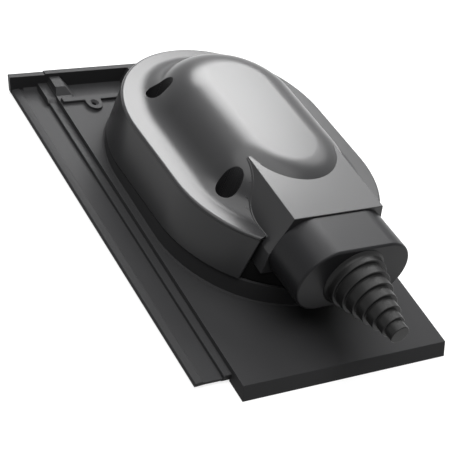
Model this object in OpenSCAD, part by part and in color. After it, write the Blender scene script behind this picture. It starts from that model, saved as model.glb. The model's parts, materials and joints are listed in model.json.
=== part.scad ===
// Solar cable entry roof tile: a flat interlocking tile with a raised collar, and on the collar a
// hood whose neck holds a stepped rubber boot for the cables.
// X runs across the roof, Y runs up the slope, Z stands on the plane that the tile's back rests on.
// The origin is the middle of the part's footprint, on that plane.

/* [Tile plate] */
// Width of the flat field, from the side joint's step to the right edge
field_w = 256; // [252:1:290]
// Length from the top front edge to the back of the head rim
tile_l = 440; // [436:1:480]
// Height of the field's top face above the back plane
field_h = 14; // [13:0.5:17]
// Thickness of the moulded skin under the field
skin_t = 4.5; // [3:0.25:5]
// How far the foot of the front skirt leads its top edge
skirt_rake = 8; // [4:0.5:12]
// Thickness of the front skirt
skirt_t = 5; // [3:0.5:7]

/* [Side joint] */
// Width of the joint strip on the left side
strip_w = 40; // [38:1:44]
// Distance from the front edge to the start of the strip
strip_y = 18.8; // [14:0.2:26]
// Height of the water channel's floor
channel_h = 5.5; // [5:0.25:7]
// Thickness of the strip's floor
strip_t = 3.5; // [2.5:0.25:4]
// Height of the joint's inner rib
rib_h = 9.1; // [8:0.1:9.3]
// Height of the joint's rounded outer rib
outer_rib_h = 7.2; // [6.6:0.1:8.5]

/* [Head] */
// Thickness of the head rim
rim_t = 5.8; // [4:0.2:8]
// Height of the rim above the back plane
rim_h = 25.2; // [23:0.2:30]
// How far the rim reaches past the field's left side
rim_side = 48; // [46:1:50]
// How much lower the rim is over the joint strip
rim_step = 1.4; // [0.5:0.1:2.5]
// Height of the water bar in front of the pans
bar_h = 18; // [17:0.5:20]
// Width of the water bar
bar_w = 7; // [6:0.5:10]
// Clear depth of the pans, from the water bar to the rim
pan_l = 30.6; // [24:0.2:34]
// Width of the left pan at its floor
pan_w = 66; // [50:1:68]
// Distance from the field's side to a pan's floor
pan_x = 28; // [26:1:36]
// Height of the pans' floor
pan_h = 6; // [5:0.5:8]
// Radius of the screw lugs
lug_r = 9.4; // [7:0.1:10]
// Radius of the screw holes in the lugs
lug_hole_r = 2.5; // [1.5:0.1:3]
// Distance from the field's left side to the left lug's hole
lug_x = 36.5; // [32:0.5:50]

/* [Collar and throat] */
// Outer radius of the collar's round ends
collar_r = 120; // [118:0.5:122]
// Thickness of the collar wall
collar_t = 5; // [3.5:0.25:6]
// Height of the collar's top above the field, measured square to the hood's base
collar_h = 28.2; // [26:0.2:32]
// Inner radius of the round throat that the cables come up through
throat_r = 50; // [40:1:54]
// Thickness of the throat's wall
throat_t = 3; // [2:0.25:4]
// Height of the throat's top above the field
throat_h = 16; // [8:1:18]

/* [Hood] */
// Angle between the hood's base and the tile
hood_pitch = 3.2; // [2:0.1:4]
// Distance from the front edge to the centre of the hood's round front end
hood_y = 198.5; // [197:0.5:202]
// Length of the straight middle of the brim and the skirt
brim_run = 84; // [82:0.5:86]
// Length of the straight middle of the crown
crown_run = 87.5; // [86:0.5:90]
// Radius of the crown's flat top
crown_flat_r = 32.3; // [24:0.1:34]
// Height of the crown above the field
crown_h = 124.5; // [122:0.5:135]
// Radius of the crown's outward curve
crown_r = 50.8; // [49:0.2:52]
// Radius of the hollow curve between crown and brim
hollow_r = 26.2; // [22:0.2:28]
// Height of the brim above the field
brim_h = 82; // [80:0.5:84]
// Outer radius of the brim
brim_r = 118.3; // [117:0.1:119]
// Radius of the brim's rounded shoulder
shoulder_r = 3; // [1.5:0.25:4]
// Outer radius of the skirt's foot
skirt_r = 120.9; // [120.5:0.1:123]
// How far the skirt's foot stands forward of its top
skirt_lean = 2; // [1:0.25:3]
// Thickness of the hood's wall
hood_t = 2.5; // [2:0.1:3]

/* [Nose and neck] */
// Distance from the hood's front centre to the nose's face
nose_l = 106.7; // [104:0.1:110]
// Half width of the nose's roof
nose_top_w = 55.3; // [50:0.1:60]
// Half width of the nose at the foot of its sloped sides
nose_foot_w = 68.2; // [68:0.1:72]
// Height of the nose's roof at its face
nose_h = 115.4; // [112:0.2:118]
// Height where the nose's sides turn straight down
nose_foot_h = 72.4; // [68:0.2:76]
// Height of the lower edge of the nose's side walls
fin_h = 46.8; // [44:0.2:50]
// Slope of the nose's roof, rising to the crown
nose_rise = 2.1; // [1.5:0.1:2.3]
// Distance from the hood's front centre to the face where the skirt is cut for the nose
cut_l = 92.6; // [90:0.2:95]
// Radius of the neck's round sides
neck_r = 37.4; // [34:0.2:38]
// Distance between the centres of the neck's round sides
neck_run = 59.5; // [50:0.5:60]
// Height of the neck's axis above the field
neck_h = 76.4; // [76:0.2:78]
// Length of the neck in front of the nose
neck_l = 50; // [40:0.5:60]
// Thickness of the neck's wall
neck_t = 3; // [2:0.25:4]
// Chamfer round the neck's front face
neck_chamfer = 2.5; // [1:0.25:2.75]

/* [Cable boot] */
// Radius of the hole in the neck that the boot snaps into
boot_bore_r = 28; // [24:0.5:29]
// Radius of the boot's base disc
boot_base_r = 34.5; // [32:0.25:34.5]
// Thickness of the boot's base disc
boot_base_t = 1; // [0.5:0.25:3]
// Radius of the boot's largest step
boot_r = 31.1; // [28:0.1:31.2]
// Number of steps on the boot
boot_steps = 6; // [4:1:6]
// Length of the first step, next to the neck
first_step_l = 9.8; // [8:0.2:13]
// Length of each further step
step_l = 11.8; // [9:0.1:13]
// How much smaller each step is than the one behind it
step_drop = 3.7; // [3:0.1:3.8]
// Radius of the boot's round tip
tip_r = 10.2; // [8:0.1:11]
// Length of the tip in front of the last step
tip_l = 10.8; // [8:0.2:14]
// Wall of the rubber boot
boot_t = 2; // [1.5:0.1:2.5]

/* [Carrier, seal and screws] */
// Thickness of the seal between the collar and the carrier
seal_t = 1.6; // [1:0.1:2]
// Outer radius of the carrier's foot
carrier_r = 117; // [116.5:0.1:117.5]
// Height of the carrier's wall
carrier_h = 20; // [12:0.5:22]
// Thickness of the carrier's deck and wall
carrier_t = 3; // [2:0.25:4]
// Radius of the opening in the carrier's deck
deck_r = 56; // [46:1:62]
// Radius of the screw pockets in the hood
pocket_r = 11.2; // [9:0.2:12]
// Height of the pockets' floor above the field
pocket_h = 62; // [56:0.5:66]
// Distance of a rear pocket from the hood's centre line
rear_pocket_x = 70; // [66:0.5:74]
// Distance of a rear pocket behind the crown's rear centre
rear_pocket_y = 38.5; // [30:0.5:40]
// Distance of a front pocket from the hood's centre line
front_pocket_x = 74.7; // [71:0.1:76]
// Distance of a front pocket in front of the hood's front centre
front_pocket_y = 26.2; // [22:0.2:30]
// Radius of a screw's shank
screw_r = 2.4; // [2:0.1:3]
// Radius of a screw's head
head_r = 5; // [4:0.1:6]
// Length of a screw's shank
screw_l = 20; // [14:1:26]

/* [Fits] */
// Gap between pieces that slide into each other
fit_gap = 0.4; // [0.3:0.05:0.6]
// Gap between a screw and its bore
screw_gap = 0.2; // [0.1:0.05:0.3]

/* [Hidden] */
$fn = 96;
eps = 0.01;
big = 400;

// Section of the side joint, measured from the field's side
channel_in = 8.9;
channel_out = strip_w - 8.4;
outer_foot_h = 1.2;
outer_foot_w = 3;
crest_drop = 1;
rib_round = 0.5;
joint_gap = 0.5;
cover_rib_w = 4;
cover_x = field_w - strip_w;

// Low ramp in the channel at the rim's foot, and the pad on the inner rib
sill_x = 27.5;
sill_l = 4.6;
sill_h = 3;
step_side = 10.8;
step_front = 1.8;
step_back = 6.4;
step_h = 12;
pad_side = 12.6;
pad_w = 9.1;
pad_l = 17;
pad_h = 15.5;

// Places along the head
rim_y = tile_l - rim_t;
rim_end = field_w - rim_side - joint_gap;
rim_step_x = 5.3;
bar_back = rim_y - pan_l;
bar_front = bar_back - bar_w;
bar_side = 1.5;
bar_round = 0.6;
bar_fillet = 1;
pan_t = 3;
pan_foot = pan_h - pan_t;
pan_slope = 17;
pan_top_h = bar_h + 4;
pan_end = pan_x + pan_w;
pan_end_slope = 4;
saddle_x = pan_end + pan_end_slope;
saddle_l = 6;
lug_y = bar_front - 5.1;
cover_lug_x = strip_w + 12;
sink_r = lug_hole_r + 2.3;
nib_x = 3.6;
nib_w = 7.7;
nib_back = [rim_y + 1, rim_h - 1.2];
nib_bend = [rim_y - 5, 21.5];
nib_front = [rim_y - 14.2, 18];
nib_foot = [rim_y - 24.2, field_h];

// Nibs and ribs under the tile
batten_nib_w = 30;
batten_nib_l = 8;
under_rib_t = 3;
under_rib_h = 2;
under_rib_x = 30;
under_rib_y = 45;

// Heights and lengths of the hood's parts
throat_y = hood_y + brim_run / 2;
crown_turn = asin(1 - (crown_h - brim_h) / (crown_r + hollow_r));
shoulder_h = brim_h - shoulder_r;
lip = 0.5;
skirt_h = collar_h + seal_t - 0.2;
skirt_slope = (skirt_r - brim_r + lip) / (shoulder_h - skirt_h);
nose_back = 13;
recess_l = 8;
face_t = 3;
pocket_t = 2;

// The collar and the carrier on it follow the inside of the skirt
carrier_run = brim_run - skirt_lean;
carrier_base = collar_h + seal_t;
carrier_taper = carrier_h * skirt_slope;
collar_y = hood_y * cos(hood_pitch) + collar_h * sin(hood_pitch);
collar_fillet = 1.6;
seal_in = collar_r - collar_t + 0.5;
spigot_r = collar_r - collar_t - fit_gap;
spigot_h = 5;
boss_r = 7;
boss_top = pocket_h - hood_t;
notch_l = 60;
notch_back = 20;

// The neck and the boot share one axis
spigot_neck_r = neck_r - 5;
spigot_l = 9;
tab_w = 24;
tab_h = 1.5;
tab_root = 1;
boot_flange_r = boot_bore_r + 3;
boot_flange_t = 2.5;
boot_flare = 3;
boot_tip = boot_base_t + first_step_l + (boot_steps - 1) * step_l + tip_l;
edge_round = 0.8;
head_h = 3;
head_round = 1.5;
drive_w = 1.2;
drive_l = 5.6;
drive_d = 1.4;
screw_tip_r = 0.6;
screw_tip_l = 2;

// The footprint's middle, between the rim's end, the field's right side, the boot's tip and the rim's back
mid_x = (field_w - rim_side) / 2;
hood_x = field_w / 2;
tip_v = hood_y - nose_l - neck_l - boot_tip;
tip_y = tip_v * cos(hood_pitch) + (neck_h - tip_r) * sin(hood_pitch);
mid_y = (tile_l + tip_y) / 2;

// Frames

module place() {
    translate([-mid_x, -mid_y, 0]) children();
}

// Frame of the hood: origin at the centre of its round front end, on the field
module hood_frame() {
    place() translate([hood_x, 0, field_h]) rotate([-hood_pitch, 0, 0]) translate([0, hood_y, 0]) children();
}

// Frame of the neck and the boot: Z points out of the nose along their axis, X across the roof
module neck_frame() {
    hood_frame() translate([0, -nose_l, neck_h]) rotate([90, 0, 0]) children();
}

// Shapes used by more than one piece

// A straight middle of the given length between two half turns, with the 2D child as its section
module run_round(run) {
    rotate([0, 0, 180]) rotate_extrude(angle = 180) children();
    translate([0, run, 0]) rotate_extrude(angle = 180) children();
    for (side = [0, 1]) {
        mirror([side, 0, 0]) translate([0, run, 0]) rotate([90, 0, 0]) linear_extrude(run) children();
    }
}

// A plain plate of the same outline
module slot_plate(run, r, h) {
    cylinder(h = h, r = r);
    translate([0, run, 0]) cylinder(h = h, r = r);
    translate([-r, 0, 0]) cube([2 * r, run, h]);
}

// The same outline lying across X, for the neck
module neck_section(r, h) {
    translate([-neck_run / 2, 0, 0]) rotate([0, 0, -90]) slot_plate(neck_run, r, h);
}

// Points on an arc, from one angle to the other
function arc(c, r, from, to, n = 12) = [
    for (i = [0:n]) let (a = from + (to - from) * i / n) [c[0] + r * cos(a), c[1] + r * sin(a)]
];

// Base tile

// Section of the side joint from its outer edge to the step up to the field
module joint_section() {
    crest = outer_rib_h - crest_drop;
    polygon([
        [-strip_w, outer_foot_h], [-strip_w, crest - rib_round], [-strip_w + rib_round, crest],
        [-channel_out - 2 * rib_round, outer_rib_h], [-channel_out, outer_rib_h - rib_round],
        [-channel_out, channel_h], [-channel_in, channel_h], [-channel_in, rib_h - rib_round],
        [-channel_in + rib_round, rib_h], [0, rib_h], [0, field_h], [skin_t, field_h],
        [skin_t, rib_h - strip_t], [strip_t - channel_in, rib_h - strip_t],
        [strip_t - channel_in, channel_h - strip_t], [outer_foot_w - channel_out, channel_h - strip_t],
        [outer_foot_w - strip_w, outer_foot_h]
    ]);
}

module joint_strip() {
    translate([0, tile_l, 0]) rotate([90, 0, 0]) linear_extrude(tile_l - strip_y) joint_section();
    translate([-sill_x, 0, 0]) rotate([90, 0, 90]) linear_extrude(sill_x - channel_in + eps) polygon([
        [rim_y - sill_l, channel_h - 1], [rim_y - sill_l, channel_h], [rim_y + 1, channel_h + sill_h],
        [rim_y + 1, channel_h - 1]
    ]);
}

// The field with its raked front skirt, solid only as thick as the skin
module field_plate() {
    translate([0, 0, field_h - skin_t]) cube([field_w, bar_front + 1, skin_t]);
    rotate([90, 0, 90]) linear_extrude(field_w) polygon([
        [0, field_h], [-skirt_rake, 0], [skirt_t - skirt_rake, 0], [skirt_t, field_h - skin_t],
        [skirt_t, field_h]
    ]);
    // Side walls in front of the joint, on the right clear of the next tile's strip
    for (wall = [[0, strip_y], [field_w - skin_t, strip_y - joint_gap]]) {
        translate([wall[0], 0, 0]) rotate([90, 0, 90]) linear_extrude(skin_t) polygon([
            [0, field_h], [-skirt_rake, 0], [wall[1], 0], [wall[1], field_h]
        ]);
    }
}

// Rib under the right side that drops into the next tile's water channel
module cover_rib() {
    x = field_w - (channel_in + channel_out) / 2;
    translate([x - cover_rib_w / 2, strip_y, channel_h + joint_gap])
        cube([cover_rib_w, bar_back - strip_y - eps, field_h - skin_t - channel_h - joint_gap + eps]);
}

// Stiffening ribs under the field
module under_ribs() {
    h = field_h - skin_t - under_rib_h + eps;
    for (side = [-1, 1]) {
        translate([hood_x + side * (throat_r + under_rib_x) - under_rib_t / 2, 0, under_rib_h])
            cube([under_rib_t, bar_front + 1, h]);
        translate([0, throat_y + side * (throat_r + under_rib_y) - under_rib_t / 2, under_rib_h])
            cube([cover_x, under_rib_t, h]);
    }
}

// Water bar across the head, with the screw lugs that grow out of it
module water_bar() {
    for (part = [[bar_side, cover_x, pan_foot], [cover_x - eps, field_w - bar_side, field_h - skin_t]]) {
        translate([part[0], 0, 0]) rotate([90, 0, 90]) linear_extrude(part[1] - part[0]) polygon([
            [bar_front, part[2]], [bar_front - bar_fillet, field_h - 1], [bar_front - bar_fillet, field_h],
            [bar_front, field_h + bar_fillet], [bar_front, bar_h - bar_round], [bar_front + bar_round, bar_h],
            [bar_back - bar_round, bar_h], [bar_back, bar_h - bar_round], [bar_back, part[2]]
        ]);
    }
    for (x = [lug_x, field_w - cover_lug_x]) translate([x, lug_y, 0]) {
        translate([0, 0, field_h - skin_t]) cylinder(h = bar_h - field_h + skin_t, r = lug_r);
        translate([0, 0, field_h]) cylinder(h = bar_fillet, r1 = lug_r + bar_fillet, r2 = lug_r);
        translate([-lug_r, 0, field_h - skin_t]) cube([2 * lug_r, bar_w, bar_h - field_h + skin_t]);
    }
}

// Section of one pan across the roof, its floor starting at the given distance from the side
module pan_section(start) {
    polygon([
        [start - pan_slope, pan_top_h], [start, pan_h], [pan_end, pan_h], [pan_end + pan_end_slope, rim_h],
        [pan_end + pan_end_slope + pan_t, rim_h], [pan_end + pan_t, pan_foot], [start - 1, pan_foot],
        [start - pan_slope - pan_t, pan_top_h - pan_t]
    ]);
}

// Stepped pad on the joint's inner rib, beside the left pan
module rib_pad() {
    front = bar_back + step_front;
    translate([-step_side, 0, 0]) rotate([90, 0, 90]) linear_extrude(step_side + eps) polygon([
        [front, channel_h - 1], [front, rib_h], [bar_back + step_back, step_h], [rim_y + 1, step_h],
        [rim_y + 1, channel_h - 1]
    ]);
    translate([-pad_side, bar_back + step_back, channel_h - 1]) cube([pad_w, pad_l, pad_h - channel_h + 1]);
}

// Nib beside the left pan that leans against the rim
module rim_nib() {
    translate([nib_x, 0, 0]) rotate([90, 0, 90]) linear_extrude(nib_w) polygon([
        [nib_back[0], field_h - 1], nib_back, nib_bend, nib_front, nib_foot, [nib_foot[0], field_h - 1]
    ]);
}

// Head of the tile: two pans side by side, the saddle between them and the rim behind them.
// The right pan is narrower, and the rim ends before it, where the next tile's strip and rim lie.
module head() {
    depth = tile_l - bar_back + 1;
    translate([0, tile_l, 0]) rotate([90, 0, 0]) linear_extrude(depth) pan_section(pan_x);
    translate([field_w, 0, 0]) mirror([1, 0, 0]) translate([0, tile_l, 0]) rotate([90, 0, 0])
        linear_extrude(depth) pan_section(rim_side + 1);
    translate([0, bar_back - 1, field_h - skin_t]) cube([pan_x - pan_slope, depth, skin_t]);
    rib_pad();
    rim_nib();
    // Saddle
    width = field_w - 2 * saddle_x;
    saddle_y = bar_back + saddle_l;
    translate([saddle_x, saddle_y, rim_h - pan_t]) cube([width, tile_l - saddle_y, pan_t]);
    translate([saddle_x, saddle_y, pan_foot]) cube([width, pan_t, rim_h - pan_foot]);
    translate([saddle_x, bar_back - 1, pan_foot]) cube([width, saddle_l + 2, pan_t]);
    // Rim, one step lower over the joint strip, with a leaning end
    translate([0, tile_l, 0]) rotate([90, 0, 0]) linear_extrude(rim_t) polygon([
        [-strip_w, outer_foot_h], [-rim_side, rim_h - rim_step], [-rim_step_x, rim_h - rim_step],
        [-rim_step_x, rim_h], [rim_end, rim_h], [rim_end, pan_foot], [skin_t, pan_foot], [0, outer_foot_h]
    ]);
}

// Nibs that hook over the roof batten
module batten_nibs() {
    for (x = [pan_x + pan_w / 2, hood_x, field_w - pan_x - pan_w / 2]) {
        translate([x - batten_nib_w / 2, bar_back, 0]) cube([batten_nib_w, batten_nib_l, pan_foot + 1]);
    }
}

// Half space below the hood's base plane at height h, as a large block in the hood's frame
module below(h) {
    translate([-big, -big, h - big]) cube([2 * big, 2 * big, big]);
}

module collar_wall() {
    foot = field_h - skin_t;
    intersection() {
        translate([hood_x, collar_y, 0]) run_round(carrier_run) polygon([
            [collar_r - collar_t, foot], [collar_r, foot], [collar_r + collar_fillet, field_h - 1],
            [collar_r + collar_fillet, field_h], [collar_r, field_h + collar_fillet],
            [collar_r, field_h + collar_h], [collar_r - collar_t, field_h + collar_h]
        ]);
        translate([hood_x, 0, field_h]) rotate([-hood_pitch, 0, 0]) below(collar_h);
    }
}

module throat() {
    translate([hood_x, throat_y, 0]) cylinder(h = field_h + throat_h, r = throat_r + throat_t);
}

module base_tile() {
    color([0.16, 0.16, 0.17]) place() difference() {
        union() {
            field_plate();
            joint_strip();
            cover_rib();
            under_ribs();
            water_bar();
            head();
            batten_nibs();
            collar_wall();
            throat();
        }
        translate([hood_x, throat_y, -1]) cylinder(h = field_h + throat_h + 2, r = throat_r);
        // Room for the next tile's rim
        translate([rim_end, rim_y - joint_gap, -1]) cube([rim_side + 1, rim_t + 2, rim_h + 2]);
        for (x = [lug_x, field_w - cover_lug_x]) translate([x, lug_y, 0]) {
            cylinder(h = bar_h + 1, r = lug_hole_r);
            translate([0, 0, bar_h - sink_r + lug_hole_r])
                cylinder(h = sink_r - lug_hole_r + eps, r1 = lug_hole_r, r2 = sink_r + eps);
        }
    }
}

// Seal and carrier

module collar_seal() {
    color([0.03, 0.03, 0.03]) hood_frame() run_round(carrier_run) translate([seal_in, collar_h])
        square([carrier_r - seal_in, seal_t]);
}

// Carrier: a dish with a deck that closes the collar, and four bosses for the hood's screws
module hood_carrier() {
    top_r = carrier_r - carrier_taper;
    color([0.10, 0.10, 0.105]) hood_frame() difference() {
        union() {
            run_round(carrier_run) polygon([
                [deck_r, carrier_base], [spigot_r - carrier_t, carrier_base],
                [spigot_r - carrier_t, carrier_base - spigot_h], [spigot_r, carrier_base - spigot_h],
                [spigot_r, carrier_base], [carrier_r, carrier_base],
                [top_r, carrier_base + carrier_h], [top_r - carrier_t, carrier_base + carrier_h],
                [carrier_r - carrier_t - 1, carrier_base + carrier_t],
                [deck_r + carrier_t, carrier_base + carrier_t],
                [deck_r + carrier_t, carrier_base + 2 * carrier_t], [deck_r, carrier_base + 2 * carrier_t]
            ]);
            at_pockets() translate([0, 0, carrier_base]) cylinder(h = boss_top - carrier_base, r = boss_r);
        }
        // Saddle for the neck's underside, and a notch for the nose above it
        translate([0, -cut_l + notch_back, neck_h]) rotate([90, 0, 0])
            neck_section(neck_r + fit_gap, notch_l);
        translate([-nose_foot_w - fit_gap, -cut_l + notch_back - notch_l, fin_h - fit_gap])
            cube([2 * (nose_foot_w + fit_gap), notch_l, crown_h]);
        at_pockets() translate([0, 0, boss_top - screw_l])
            cylinder(h = screw_l + 1, r = screw_r + screw_gap);
    }
}

// The children at each of the four screw pockets
module at_pockets() {
    for (side = [-1, 1]) {
        translate([side * front_pocket_x, -front_pocket_y, 0]) children();
        translate([side * rear_pocket_x, crown_run + rear_pocket_y, 0]) children();
    }
}

// Hood cover

// Section of the crown down to the brim's top, inset by t from the outer face and closed at height low
module crown_section(t, low) {
    c1 = [crown_flat_r, crown_h - crown_r];
    c2 = c1 + (crown_r + hollow_r) * [cos(crown_turn), sin(crown_turn)];
    polygon(concat(
        [[0, low], [0, crown_h - t]],
        arc(c1, crown_r - t, 90, crown_turn),
        arc(c2, hollow_r + t, 180 + crown_turn, 270, 8),
        [[c2[0], low]]
    ));
}

// Section of the brim with its rounded shoulder, inset and closed in the same way
module brim_section(t, low) {
    edge_r = max(shoulder_r - t, 0.5);
    edge_x = brim_r - t - edge_r;
    polygon(concat(
        [[0, low], [0, brim_h - t]], arc([edge_x, brim_h - t - edge_r], edge_r, 90, 0, 4), [[edge_x, low]]
    ));
}

module crown(t, low = shoulder_h - 4) {
    run_round(crown_run) crown_section(t, low);
    run_round(brim_run) brim_section(t, low);
}

// Skirt, leaning forward at its foot, as one block; the inner block also cuts through the foot
module skirt_block(t) {
    foot = skirt_h - (t > 0 ? 1 : 0);
    lean = skirt_lean * (shoulder_h - foot) / (shoulder_h - skirt_h);
    hull() {
        translate([0, 0, shoulder_h - 1]) slot_plate(brim_run, brim_r - lip - t, 0.5);
        translate([0, -lean, foot]) slot_plate(brim_run, skirt_r + (skirt_h - foot) * skirt_slope - t, eps);
    }
}

// Everything in front of the face where brim and skirt stop for the nose, moved back by the given length
module nose_cut(back) {
    translate([-big, back - cut_l - big, -big]) cube([2 * big, big, 2 * big]);
}

// Section of the nose across the roof, inset by t from the outer face
module nose_section(t) {
    top = nose_h - t;
    low = fin_h - (t > 0 ? 1 : 0);
    polygon([
        [-nose_top_w + 0.7 * t, top], [nose_top_w - 0.7 * t, top], [nose_foot_w - t, nose_foot_h],
        [nose_foot_w - t, low], [t - nose_foot_w, low], [t - nose_foot_w, nose_foot_h]
    ]);
}

// The nose from its face to the crown, with its roof rising to the back
module nose_block(t) {
    face = t > 0 ? face_t : 0;
    intersection() {
        translate([0, -nose_l, 0]) rotate([nose_rise, 0, 0]) translate([0, nose_l - nose_back, 0])
            rotate([90, 0, 0]) linear_extrude(nose_l - nose_back + 10) nose_section(t);
        translate([-big, -nose_l + face, 0]) cube([2 * big, big, big]);
    }
}

// Where the hood's hollow stops in front: cheeks beside the nose, above the carrier, and the nose's walls
module cheeks() {
    intersection() {
        nose_cut(recess_l + hood_t);
        union() {
            translate([-big, -big, carrier_base + carrier_h + fit_gap]) cube([2 * big, 2 * big, big]);
            translate([-nose_foot_w, -big, fin_h]) cube([2 * nose_foot_w, 2 * big, big]);
        }
    }
}

// Open recess on each side of the nose, between its wall and the skirt
module nose_recess() {
    difference() {
        intersection() {
            skirt_block(hood_t);
            nose_cut(recess_l);
        }
        translate([-nose_foot_w, -big, 0]) cube([2 * nose_foot_w, big, big]);
    }
}

// Crown, brim and skirt, cut flat in front, with the nose joined on
module hood_outside() {
    difference() {
        union() {
            crown(0);
            skirt_block(0);
        }
        nose_cut(0);
    }
    nose_block(0);
}

// What is hollow inside the hood's wall
module hood_inside() {
    difference() {
        union() {
            crown(hood_t);
            skirt_block(hood_t);
        }
        cheeks();
    }
    nose_block(hood_t);
    nose_recess();
}

// Tubes of the screw pockets, cut to the crown's shape
module pocket_tubes() {
    intersection() {
        crown(0, boss_top);
        at_pockets() translate([0, 0, boss_top]) cylinder(h = crown_h - boss_top, r = pocket_r + pocket_t);
    }
}

module hood_cover() {
    color([0.20, 0.20, 0.21]) hood_frame() difference() {
        union() {
            difference() {
                hood_outside();
                hood_inside();
            }
            pocket_tubes();
        }
        at_pockets() translate([0, 0, pocket_h]) cylinder(h = crown_h, r = pocket_r);
        at_pockets() translate([0, 0, boss_top - 1]) cylinder(h = hood_t + 2, r = screw_r + screw_gap);
        translate([0, -nose_l - 1, neck_h]) rotate([-90, 0, 0]) mirror([0, 1, 0])
            neck_section(spigot_neck_r + fit_gap, face_t + 2);
    }
}

// Neck, boot and screws

// The neck's round-sided shell, with its section as the 2D child
module neck_sweep() {
    translate([-neck_run / 2, 0, 0]) rotate([0, 0, -90]) run_round(neck_run) children();
}

// Neck: its spigot passes through the nose's face and its front plate holds the boot
module entry_neck() {
    tab_l = spigot_l - face_t - tab_root;
    color([0.16, 0.16, 0.17]) neck_frame() difference() {
        union() {
            neck_sweep() polygon([
                [0, neck_l], [neck_r - neck_chamfer, neck_l], [neck_r, neck_l - neck_chamfer], [neck_r, 0],
                [spigot_neck_r, 0], [spigot_neck_r, -spigot_l], [spigot_neck_r - neck_t, -spigot_l],
                [spigot_neck_r - neck_t, neck_t], [neck_r - neck_t, neck_t],
                [neck_r - neck_t, neck_l - neck_t], [0, neck_l - neck_t]
            ]);
            // Snap tab behind the nose's face
            translate([-tab_w / 2, spigot_neck_r - tab_root, -face_t - screw_gap]) rotate([0, 90, 0])
                linear_extrude(tab_w) polygon([[0, 0], [0, tab_root + tab_h], [tab_l, tab_root], [tab_l, 0]]);
        }
        translate([0, 0, neck_l - 2 * neck_t]) cylinder(h = 3 * neck_t, r = boot_bore_r);
    }
}

// Radius of one of the boot's steps, and how far its front edge stands from the neck
function step_radius(i) = boot_r - i * step_drop;
function step_end(i) = boot_base_t + first_step_l + i * step_l;

// Outline of the boot's steps, inset by t, from the base to the tip
function boot_steps_outline(t) = concat(
    [for (i = [0:boot_steps - 1]) each [
        [step_radius(i) - t, i > 0 ? step_end(i - 1) - t : boot_base_t + (t > 0 ? 0 : boot_flare)],
        [step_radius(i) - t, step_end(i) - (t > 0 ? t : edge_round)],
        if (t == 0) [step_radius(i) - edge_round, step_end(i)]
    ]],
    [[tip_r - t, step_end(boot_steps - 1) - t], [tip_r - t, boot_tip - t], [0, boot_tip - t]]
);

// Boot: hollow steps closed at the tip, and a groove that snaps into the neck's front plate
module cable_boot() {
    groove_r = boot_bore_r - screw_gap;
    groove_back = -neck_t - screw_gap;
    back = groove_back - boot_flange_t;
    color([0.05, 0.05, 0.05]) neck_frame() translate([0, 0, neck_l]) difference() {
        rotate_extrude() polygon(concat(
            [[0, back], [boot_flange_r, back], [boot_flange_r, groove_back], [groove_r, groove_back],
            [groove_r, 0], [boot_base_r, 0], [boot_base_r, boot_base_t]],
            boot_steps_outline(0)
        ));
        rotate_extrude() polygon(concat(
            [[0, back - 1], [groove_r - boot_t, back - 1], [groove_r - boot_t, boot_base_t]],
            boot_steps_outline(boot_t)
        ));
    }
}

// Round headed screw with a cross drive, standing in its pocket
module hood_screw(x, y) {
    color([0.6, 0.6, 0.6]) hood_frame() translate([x, y, pocket_h]) difference() {
        union() {
            rotate_extrude() polygon(concat(
                [[0, 0], [head_r, 0]], arc([head_r - head_round, head_h - head_round], head_round, 0, 90, 4),
                [[0, head_h]]
            ));
            translate([0, 0, screw_tip_l - screw_l]) cylinder(h = screw_l - screw_tip_l + 1, r = screw_r);
            translate([0, 0, -screw_l]) cylinder(h = screw_tip_l, r1 = screw_tip_r, r2 = screw_r);
        }
        for (turn = [0, 90]) rotate([0, 0, turn]) translate([-drive_l / 2, -drive_w / 2, head_h - drive_d])
            cube([drive_l, drive_w, drive_d + 1]);
    }
}

base_tile();
collar_seal();
hood_carrier();
hood_cover();
entry_neck();
cable_boot();
hood_screw(-front_pocket_x, -front_pocket_y);  // hood_screw_front_left
hood_screw(front_pocket_x, -front_pocket_y);  // hood_screw_front_right
hood_screw(-rear_pocket_x, crown_run + rear_pocket_y);  // hood_screw_rear_left
hood_screw(rear_pocket_x, crown_run + rear_pocket_y);  // hood_screw_rear_right
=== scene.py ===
# %% [markdown]
# # Solar cable entry roof tile
# A flat black roof tile carries a domed hood. Solar cables come up through the tile, turn inside the
# hood and leave through the stepped rubber boot at its front. The solids are already exact, so this
# lesson gives each visible piece its finished surface: soft edges, smooth curves, moulded plastic and
# rubber. Everything is in metres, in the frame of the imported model.

# %% Load the model and keep its size
import json
import math

import bmesh
import bpy
from mathutils import Matrix, Vector


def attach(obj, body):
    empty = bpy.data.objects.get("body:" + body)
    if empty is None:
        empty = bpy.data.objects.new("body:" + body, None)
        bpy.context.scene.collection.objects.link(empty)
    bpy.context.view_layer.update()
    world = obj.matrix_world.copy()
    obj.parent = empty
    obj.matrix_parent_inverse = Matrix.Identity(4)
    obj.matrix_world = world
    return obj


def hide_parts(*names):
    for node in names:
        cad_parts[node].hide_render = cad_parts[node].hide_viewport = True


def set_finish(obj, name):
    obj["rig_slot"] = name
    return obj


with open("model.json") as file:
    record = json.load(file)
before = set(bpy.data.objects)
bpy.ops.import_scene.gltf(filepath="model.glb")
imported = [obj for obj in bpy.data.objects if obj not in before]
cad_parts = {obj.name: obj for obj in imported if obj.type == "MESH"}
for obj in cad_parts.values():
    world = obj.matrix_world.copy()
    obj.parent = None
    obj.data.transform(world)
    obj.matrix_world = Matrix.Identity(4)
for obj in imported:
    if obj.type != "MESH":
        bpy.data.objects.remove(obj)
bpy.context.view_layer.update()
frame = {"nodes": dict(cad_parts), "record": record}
nodes = frame["nodes"]
MM = 0.001
print("pieces of the model:", sorted(nodes))

# %% [markdown]
# The hood doesn't stand level on the tile: its base is pitched by a few degrees, and the neck and the
# boot share that pitch. So each piece is modelled level, in its own frame, and set in place once it is
# finished. Two matrices say where those frames stand. The sizes are the product's own, in millimetres.

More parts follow.
